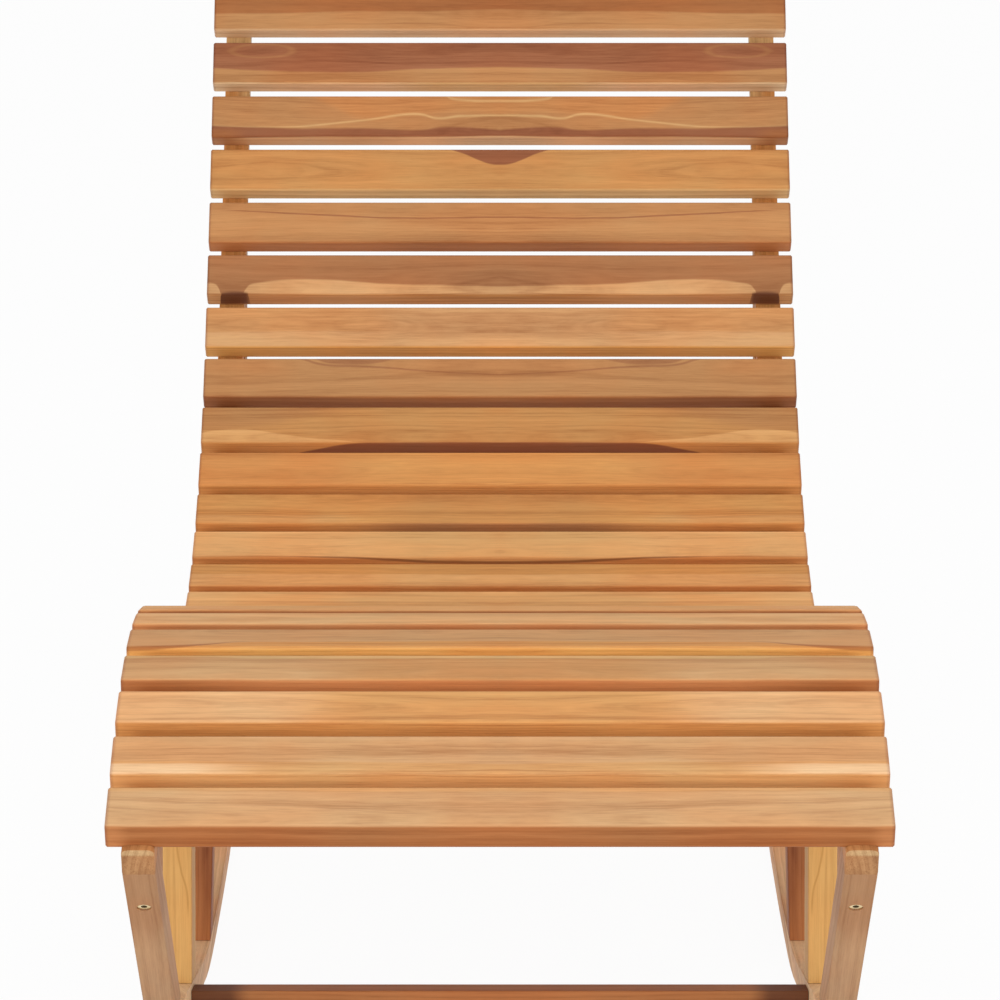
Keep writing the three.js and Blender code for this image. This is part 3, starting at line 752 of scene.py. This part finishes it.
# Heights between which the cut end turns paler, a painted highlight along the top edge of the foot
# rail's nose
HIGHLIGHT_HEIGHTS = {"rail_foot": (0.3212, 0.3236)}
RAILS = ("rail_foot", "rail_seat", "rail_back")
UPRIGHTS = ("front_leg", "front_post", "seat_strut", "rear_leg")
STRETCHERS = ("front_stretcher", "rear_stretcher")
BOLTS = ("leg_bolt", "front_stretcher_bolt", "rear_stretcher_bolt")
BOARD_SEED, BOARD_SEED_STEP = 3.3, 1.37
# The stretchers' tone, and the darker tone of the legs' shadow painted at their ends
STRETCHER_TONE_AND_SHADOW = (CLAY, COCOA)
STRETCHER_SEED = 8.1
# How wide the softened edges are
BOARD_ROUND = 0.0012
BOLT_ROUND = 0.0003


# ---- Smooth edges ---------------------------------------------------------------------------

# Places nearer than NEAR lie level, and vertices nearer than WELD are one
NEAR = 0.00002
WELD = 0.00001
# Faces that meet at less than FLAT are joined, and an edge sharper than SHARP is softened
FLAT = math.radians(0.3)
SHARP = math.radians(40)
# An arris as long as this is softened wherever it lies
LONG_ARRIS = 0.25


def geometry_group(name):
    group = bpy.data.node_groups.new(name, "GeometryNodeTree")
    group.interface.new_socket("Geometry", in_out="INPUT", socket_type="NodeSocketGeometry")
    group.interface.new_socket("Geometry", in_out="OUTPUT", socket_type="NodeSocketGeometry")
    given = group.nodes.new("NodeGroupInput").outputs[0]
    leaving = group.nodes.new("NodeGroupOutput").inputs[0]
    return group, given, leaving


def arris_group():
    """Marks the arrises to soften: those round a board's side faces, and a stretcher's long ones."""
    group, given, leaving = geometry_group("choose_arrises")
    links = group.links
    t = Tree(group)

    def outward(place):
        return t.math("ABSOLUTE", t.node("SeparateXYZ", {0: place}).outputs[0])

    ends = group.nodes.new("GeometryNodeInputMeshEdgeVertices").outputs
    first, last = (ends[f"Position {k}"] for k in (1, 2))
    reach = group.nodes.new("GeometryNodeAttributeStatistic")
    links.new(given, reach.inputs["Geometry"])
    place = group.nodes.new("GeometryNodeInputPosition").outputs[0]
    links.new(outward(place), reach.inputs["Attribute"])
    level = t.math("COMPARE", outward(first), outward(last), NEAR)
    inner = t.math("COMPARE", outward(first), reach.outputs["Min"], NEAR)
    outer = t.math("COMPARE", outward(first), reach.outputs["Max"], NEAR)
    on_side = t.mul(level, t.math("MAXIMUM", inner, outer))
    long = t.node("VectorMath", {0: first, 1: last}, operation="DISTANCE").outputs["Value"]
    chosen = t.math("MAXIMUM", on_side, t.math("GREATER_THAN", long, LONG_ARRIS))
    angle = group.nodes.new("GeometryNodeInputMeshEdgeAngle").outputs["Signed Angle"]
    store = group.nodes.new("GeometryNodeStoreNamedAttribute")
    store.data_type = "FLOAT"
    store.domain = "EDGE"
    store.inputs["Name"].default_value = "bevel_weight_edge"
    links.new(given, store.inputs["Geometry"])
    links.new(t.mul(chosen, t.math("GREATER_THAN", angle, SHARP)), store.inputs["Value"])
    links.new(store.outputs[0], leaving)
    return group


def shading_group():
    """Shades a mesh smooth, but for its sharp edges."""
    group, given, leaving = geometry_group("smooth_faces")
    links = group.links
    angle = group.nodes.new("GeometryNodeInputMeshEdgeAngle").outputs["Unsigned Angle"]
    flat = group.nodes.new("FunctionNodeCompare")
    flat.data_type = "FLOAT"
    flat.operation = "LESS_THAN"
    flat.inputs[1].default_value = SHARP
    faces = group.nodes.new("GeometryNodeSetShadeSmooth")
    faces.domain = "FACE"
    edges = group.nodes.new("GeometryNodeSetShadeSmooth")
    edges.domain = "EDGE"
    links.new(given, faces.inputs["Geometry"])
    links.new(faces.outputs[0], edges.inputs["Geometry"])
    links.new(angle, flat.inputs[0])
    links.new(flat.outputs[0], edges.inputs["Shade Smooth"])
    links.new(edges.outputs[0], leaving)
    return group


def dress(node, material, rounding=0.0, chosen=True):
    """Gives a CAD node its material, softened edges and smooth shading."""
    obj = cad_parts[node]
    obj.data.materials.clear()
    obj.data.materials.append(material)
    weld = obj.modifiers.new("weld", "WELD")
    weld.merge_threshold = WELD
    joined = obj.modifiers.new("join_flat_faces", "DECIMATE")
    joined.decimate_type = "DISSOLVE"
    joined.angle_limit = FLAT
    if rounding:
        if chosen:
            obj.modifiers.new("choose_arrises", "NODES").node_group = ARRISES
        bevel = obj.modifiers.new("soft_edges", "BEVEL")
        bevel.width = rounding
        bevel.segments = 2
        bevel.limit_method = "WEIGHT" if chosen else "ANGLE"
        bevel.angle_limit = SHARP
        bevel.use_clamp_overlap = False
        bevel.miter_outer = "MITER_ARC"
    obj.modifiers.new("smooth_faces", "NODES").node_group = SMOOTH
    weighted = obj.modifiers.new("weighted_normals", "WEIGHTED_NORMAL")
    weighted.keep_sharp = True


# ---- Screws ---------------------------------------------------------------------------------

# Half profile of a raised countersunk head, from its rim to its hexagon socket: radius and height
# in mm over the rail, and how much painted shade it has there
SCREW_PROFILE = (
    (3.9, -0.6, 1.0), (3.9, 0.15, 1.0), (3.6, 0.5, 0.1), (3.0, 0.8, 0.0), (2.3, 1.0, 0.0),
    (1.8, 1.05, 0.1), (1.7, 0.95, 1.0), (1.6, 0.3, 1.0), (0.8, 0.2, 1.0),
)
SOCKET_RINGS = 4
SCREW_SIDES = 24
# A screw sits under the middle of its slat, or a step beside it, where nothing under the rail hides it
SCREW_STEPS = (0, 0.013, -0.013)
# Half of the room that a head needs along the rail, and how far below the rail must be clear
HEAD_ROOM = 0.006
SIGHT = 0.09
# How dark the painted shade in the screws' sockets and round their rims is
SCREW_SHADE = 0.7
MM_PER_METRE = 1000


def head_ring(radius, hexagonal):
    """Points of a ring of a screw's head, round or six-sided."""
    places = []
    for k in range(SCREW_SIDES):
        turn = 2 * math.pi * k / SCREW_SIDES
        reach = radius
        if hexagonal:
            reach *= math.cos(math.pi / 6) / math.cos(turn % (math.pi / 3) - math.pi / 6)
        places.append((reach * math.cos(turn) / MM_PER_METRE, reach * math.sin(turn) / MM_PER_METRE))
    return places


def solid_tree(nodes):
    """Search tree of the faces of several CAD nodes."""
    places, faces = [], []
    for node in nodes:
        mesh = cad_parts[node].data
        first = len(places)
        places += [vertex.co.copy() for vertex in mesh.vertices]
        faces += [[first + k for k in face.vertices] for face in mesh.polygons]
    return BVHTree.FromPolygons(places, faces)


def screw_places(hand, x):
    """Where a screw can enter a rail from below, one for each slat: place and outward direction."""
    rails = solid_tree([f"{hand}_{name}" for name in RAILS])
    uprights = solid_tree([f"{hand}_{name}" for name in UPRIGHTS])
    for number in range(1, SLAT_COUNT + 1):
        middle, along, across = side_axes(f"slat_{number:02d}")
        along, upward = Vector((0, *along)), Vector((0, *across))
        for step in SCREW_STEPS:
            hits = []
            for reach in (-HEAD_ROOM, 0, HEAD_ROOM):
                start = Vector((x, *middle)) + along * (step + reach) - upward * SIGHT
                spot, facing, _, gap = rails.ray_cast(start, upward, SIGHT)
                blocked = uprights.ray_cast(start, upward, SIGHT)[3]
                if spot is None or (blocked is not None and blocked < gap):
                    break
                hits.append((spot, facing))
            if len(hits) == 3:
                spot, facing = hits[1]
                yield spot, facing if facing.dot(upward) < 0 else -facing
                break


def make_screws(hand, x, material):
    """One piece with the heads of the screws that hold the slats to one side's rails."""
    places, faces, painted_shade = [], [], []
    for spot, facing in screw_places(hand, x):
        turn = facing.to_track_quat("Z", "Y")
        first = len(places)
        for index, (radius, height, shade_share) in enumerate(SCREW_PROFILE):
            hexagonal = index >= len(SCREW_PROFILE) - SOCKET_RINGS
            for a, b in head_ring(radius, hexagonal):
                places.append(spot + turn @ Vector((a, b, height / MM_PER_METRE)))
                painted_shade.append(shade_share)
        for ring in range(len(SCREW_PROFILE) - 1):
            for k in range(SCREW_SIDES):
                low = first + ring * SCREW_SIDES
                after = (k + 1) % SCREW_SIDES
                faces.append((low + k, low + after, low + SCREW_SIDES + after, low + SCREW_SIDES + k))
        last = first + (len(SCREW_PROFILE) - 1) * SCREW_SIDES
        faces.append(tuple(last + k for k in range(SCREW_SIDES)))
        faces.append(tuple(first + k for k in reversed(range(SCREW_SIDES))))
    mesh = bpy.data.meshes.new(f"{hand}_slat_screws")
    mesh.from_pydata(places, [], faces)
    mesh.attributes.new("painted_shade", "FLOAT", "POINT").data.foreach_set("value", painted_shade)
    mesh.materials.append(material)
    screws = bpy.data.objects.new(f"{hand}_slat_screws", mesh)
    bpy.context.scene.collection.objects.link(screws)
    screws.modifiers.new("smooth_faces", "NODES").node_group = SMOOTH
    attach(screws, "root")


def screw_material():
    material, t = new_material("brass_slat_screws")
    # Painted shade, darker in the screws' sockets and round their rims
    painted_shade = t.node("Attribute", attribute_name="painted_shade").outputs["Fac"]
    close_material(t, brass_shader(t, t.mul(painted_shade, SCREW_SHADE)))
    return material


# ---- Stage ----------------------------------------------------------------------------------


def make_floor():
    """Pale paper that takes the shadow, and glows nearly white where it is looked at."""
    mesh = bpy.data.meshes.new("floor")
    turns = ((-1, -1), (1, -1), (1, 1), (-1, 1))
    mesh.from_pydata([(FLOOR_HALF * a, FLOOR_HALF * b, 0) for a, b in turns], [], [(0, 1, 2, 3)])
    floor = bpy.data.objects.new("floor", mesh)
    bpy.context.scene.collection.objects.link(floor)
    material, t = new_material("floor")
    ray = t.node("LightPath").outputs
    seen = t.math("MAXIMUM", ray["Is Camera Ray"], ray["Is Glossy Ray"])
    paper = t.node("BsdfDiffuse", {"Color": FLOOR_TONE}).outputs[0]
    glow = t.node("Emission", {"Color": WHITE, "Strength": 1.0}).outputs[0]
    both = t.node("MixShader", {0: t.mul(seen, FLOOR_GLOW), 1: paper, 2: glow}).outputs[0]
    close_material(t, both)
    mesh.materials.append(material)


def make_world():
    """Soft light from all round, and white where it is looked at."""
    world = bpy.data.worlds.new("studio")
    bpy.context.scene.world = world
    world.use_nodes = True
    world.node_tree.nodes.clear()
    t = Tree(world.node_tree)
    ray = t.node("LightPath").outputs
    seen = t.math("MAXIMUM", ray["Is Camera Ray"], ray["Is Transmission Ray"])
    strength = t.spread(seen, 0.0, 1.0, WORLD_LIGHT, 1.0)
    back = t.node("Background", {"Color": WHITE, "Strength": strength})
    t.feed(t.node("OutputWorld").inputs["Surface"], back.outputs[0])


# ---- Scene ----------------------------------------------------------------------------------

bpy.context.scene.view_settings.view_transform = "Standard"
make_camera()
make_world()
make_floor()
for lamp in LAMPS:
    make_lamp(*lamp)

GRAIN = grain_group()
ARRISES = arris_group()
SMOOTH = shading_group()

for number in range(1, SLAT_COUNT + 1):
    spec = SLATS.get(number)
    if spec is None:
        k = number % len(HIDDEN_FACES)
        spec = {"face": HIDDEN_FACES[k], "front": HIDDEN_FRONTS[k]}
    dress(f"slat_{number:02d}", slat_material(number, spec))

for index, (name, tones) in enumerate(BOARDS.items()):
    seed = BOARD_SEED + index * BOARD_SEED_STEP
    wood = board_material(f"teak_{name}", f"left_{name}", tones, seed, DRIFTS.get(name, (0.0, 0.0)),
                          VEINS.get(name, ()), HIGHLIGHT_HEIGHTS.get(name, ()))
    for hand in HANDS:
        dress(f"{hand}_{name}", wood, BOARD_ROUND)

for index, name in enumerate(STRETCHERS):
    wood = stretcher_material(f"teak_{name}", name, STRETCHER_TONE_AND_SHADOW, STRETCHER_SEED + index)
    dress(name, wood, BOARD_ROUND)

for name in BOLTS:
    brass = brass_material(f"left_{name}")
    for hand in HANDS:
        dress(f"{hand}_{name}", brass, BOLT_ROUND, False)

brass = screw_material()
for hand in HANDS:
    low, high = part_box(f"{hand}_rail_seat")
    make_screws(hand, (low[0] + high[0]) / 2, brass)
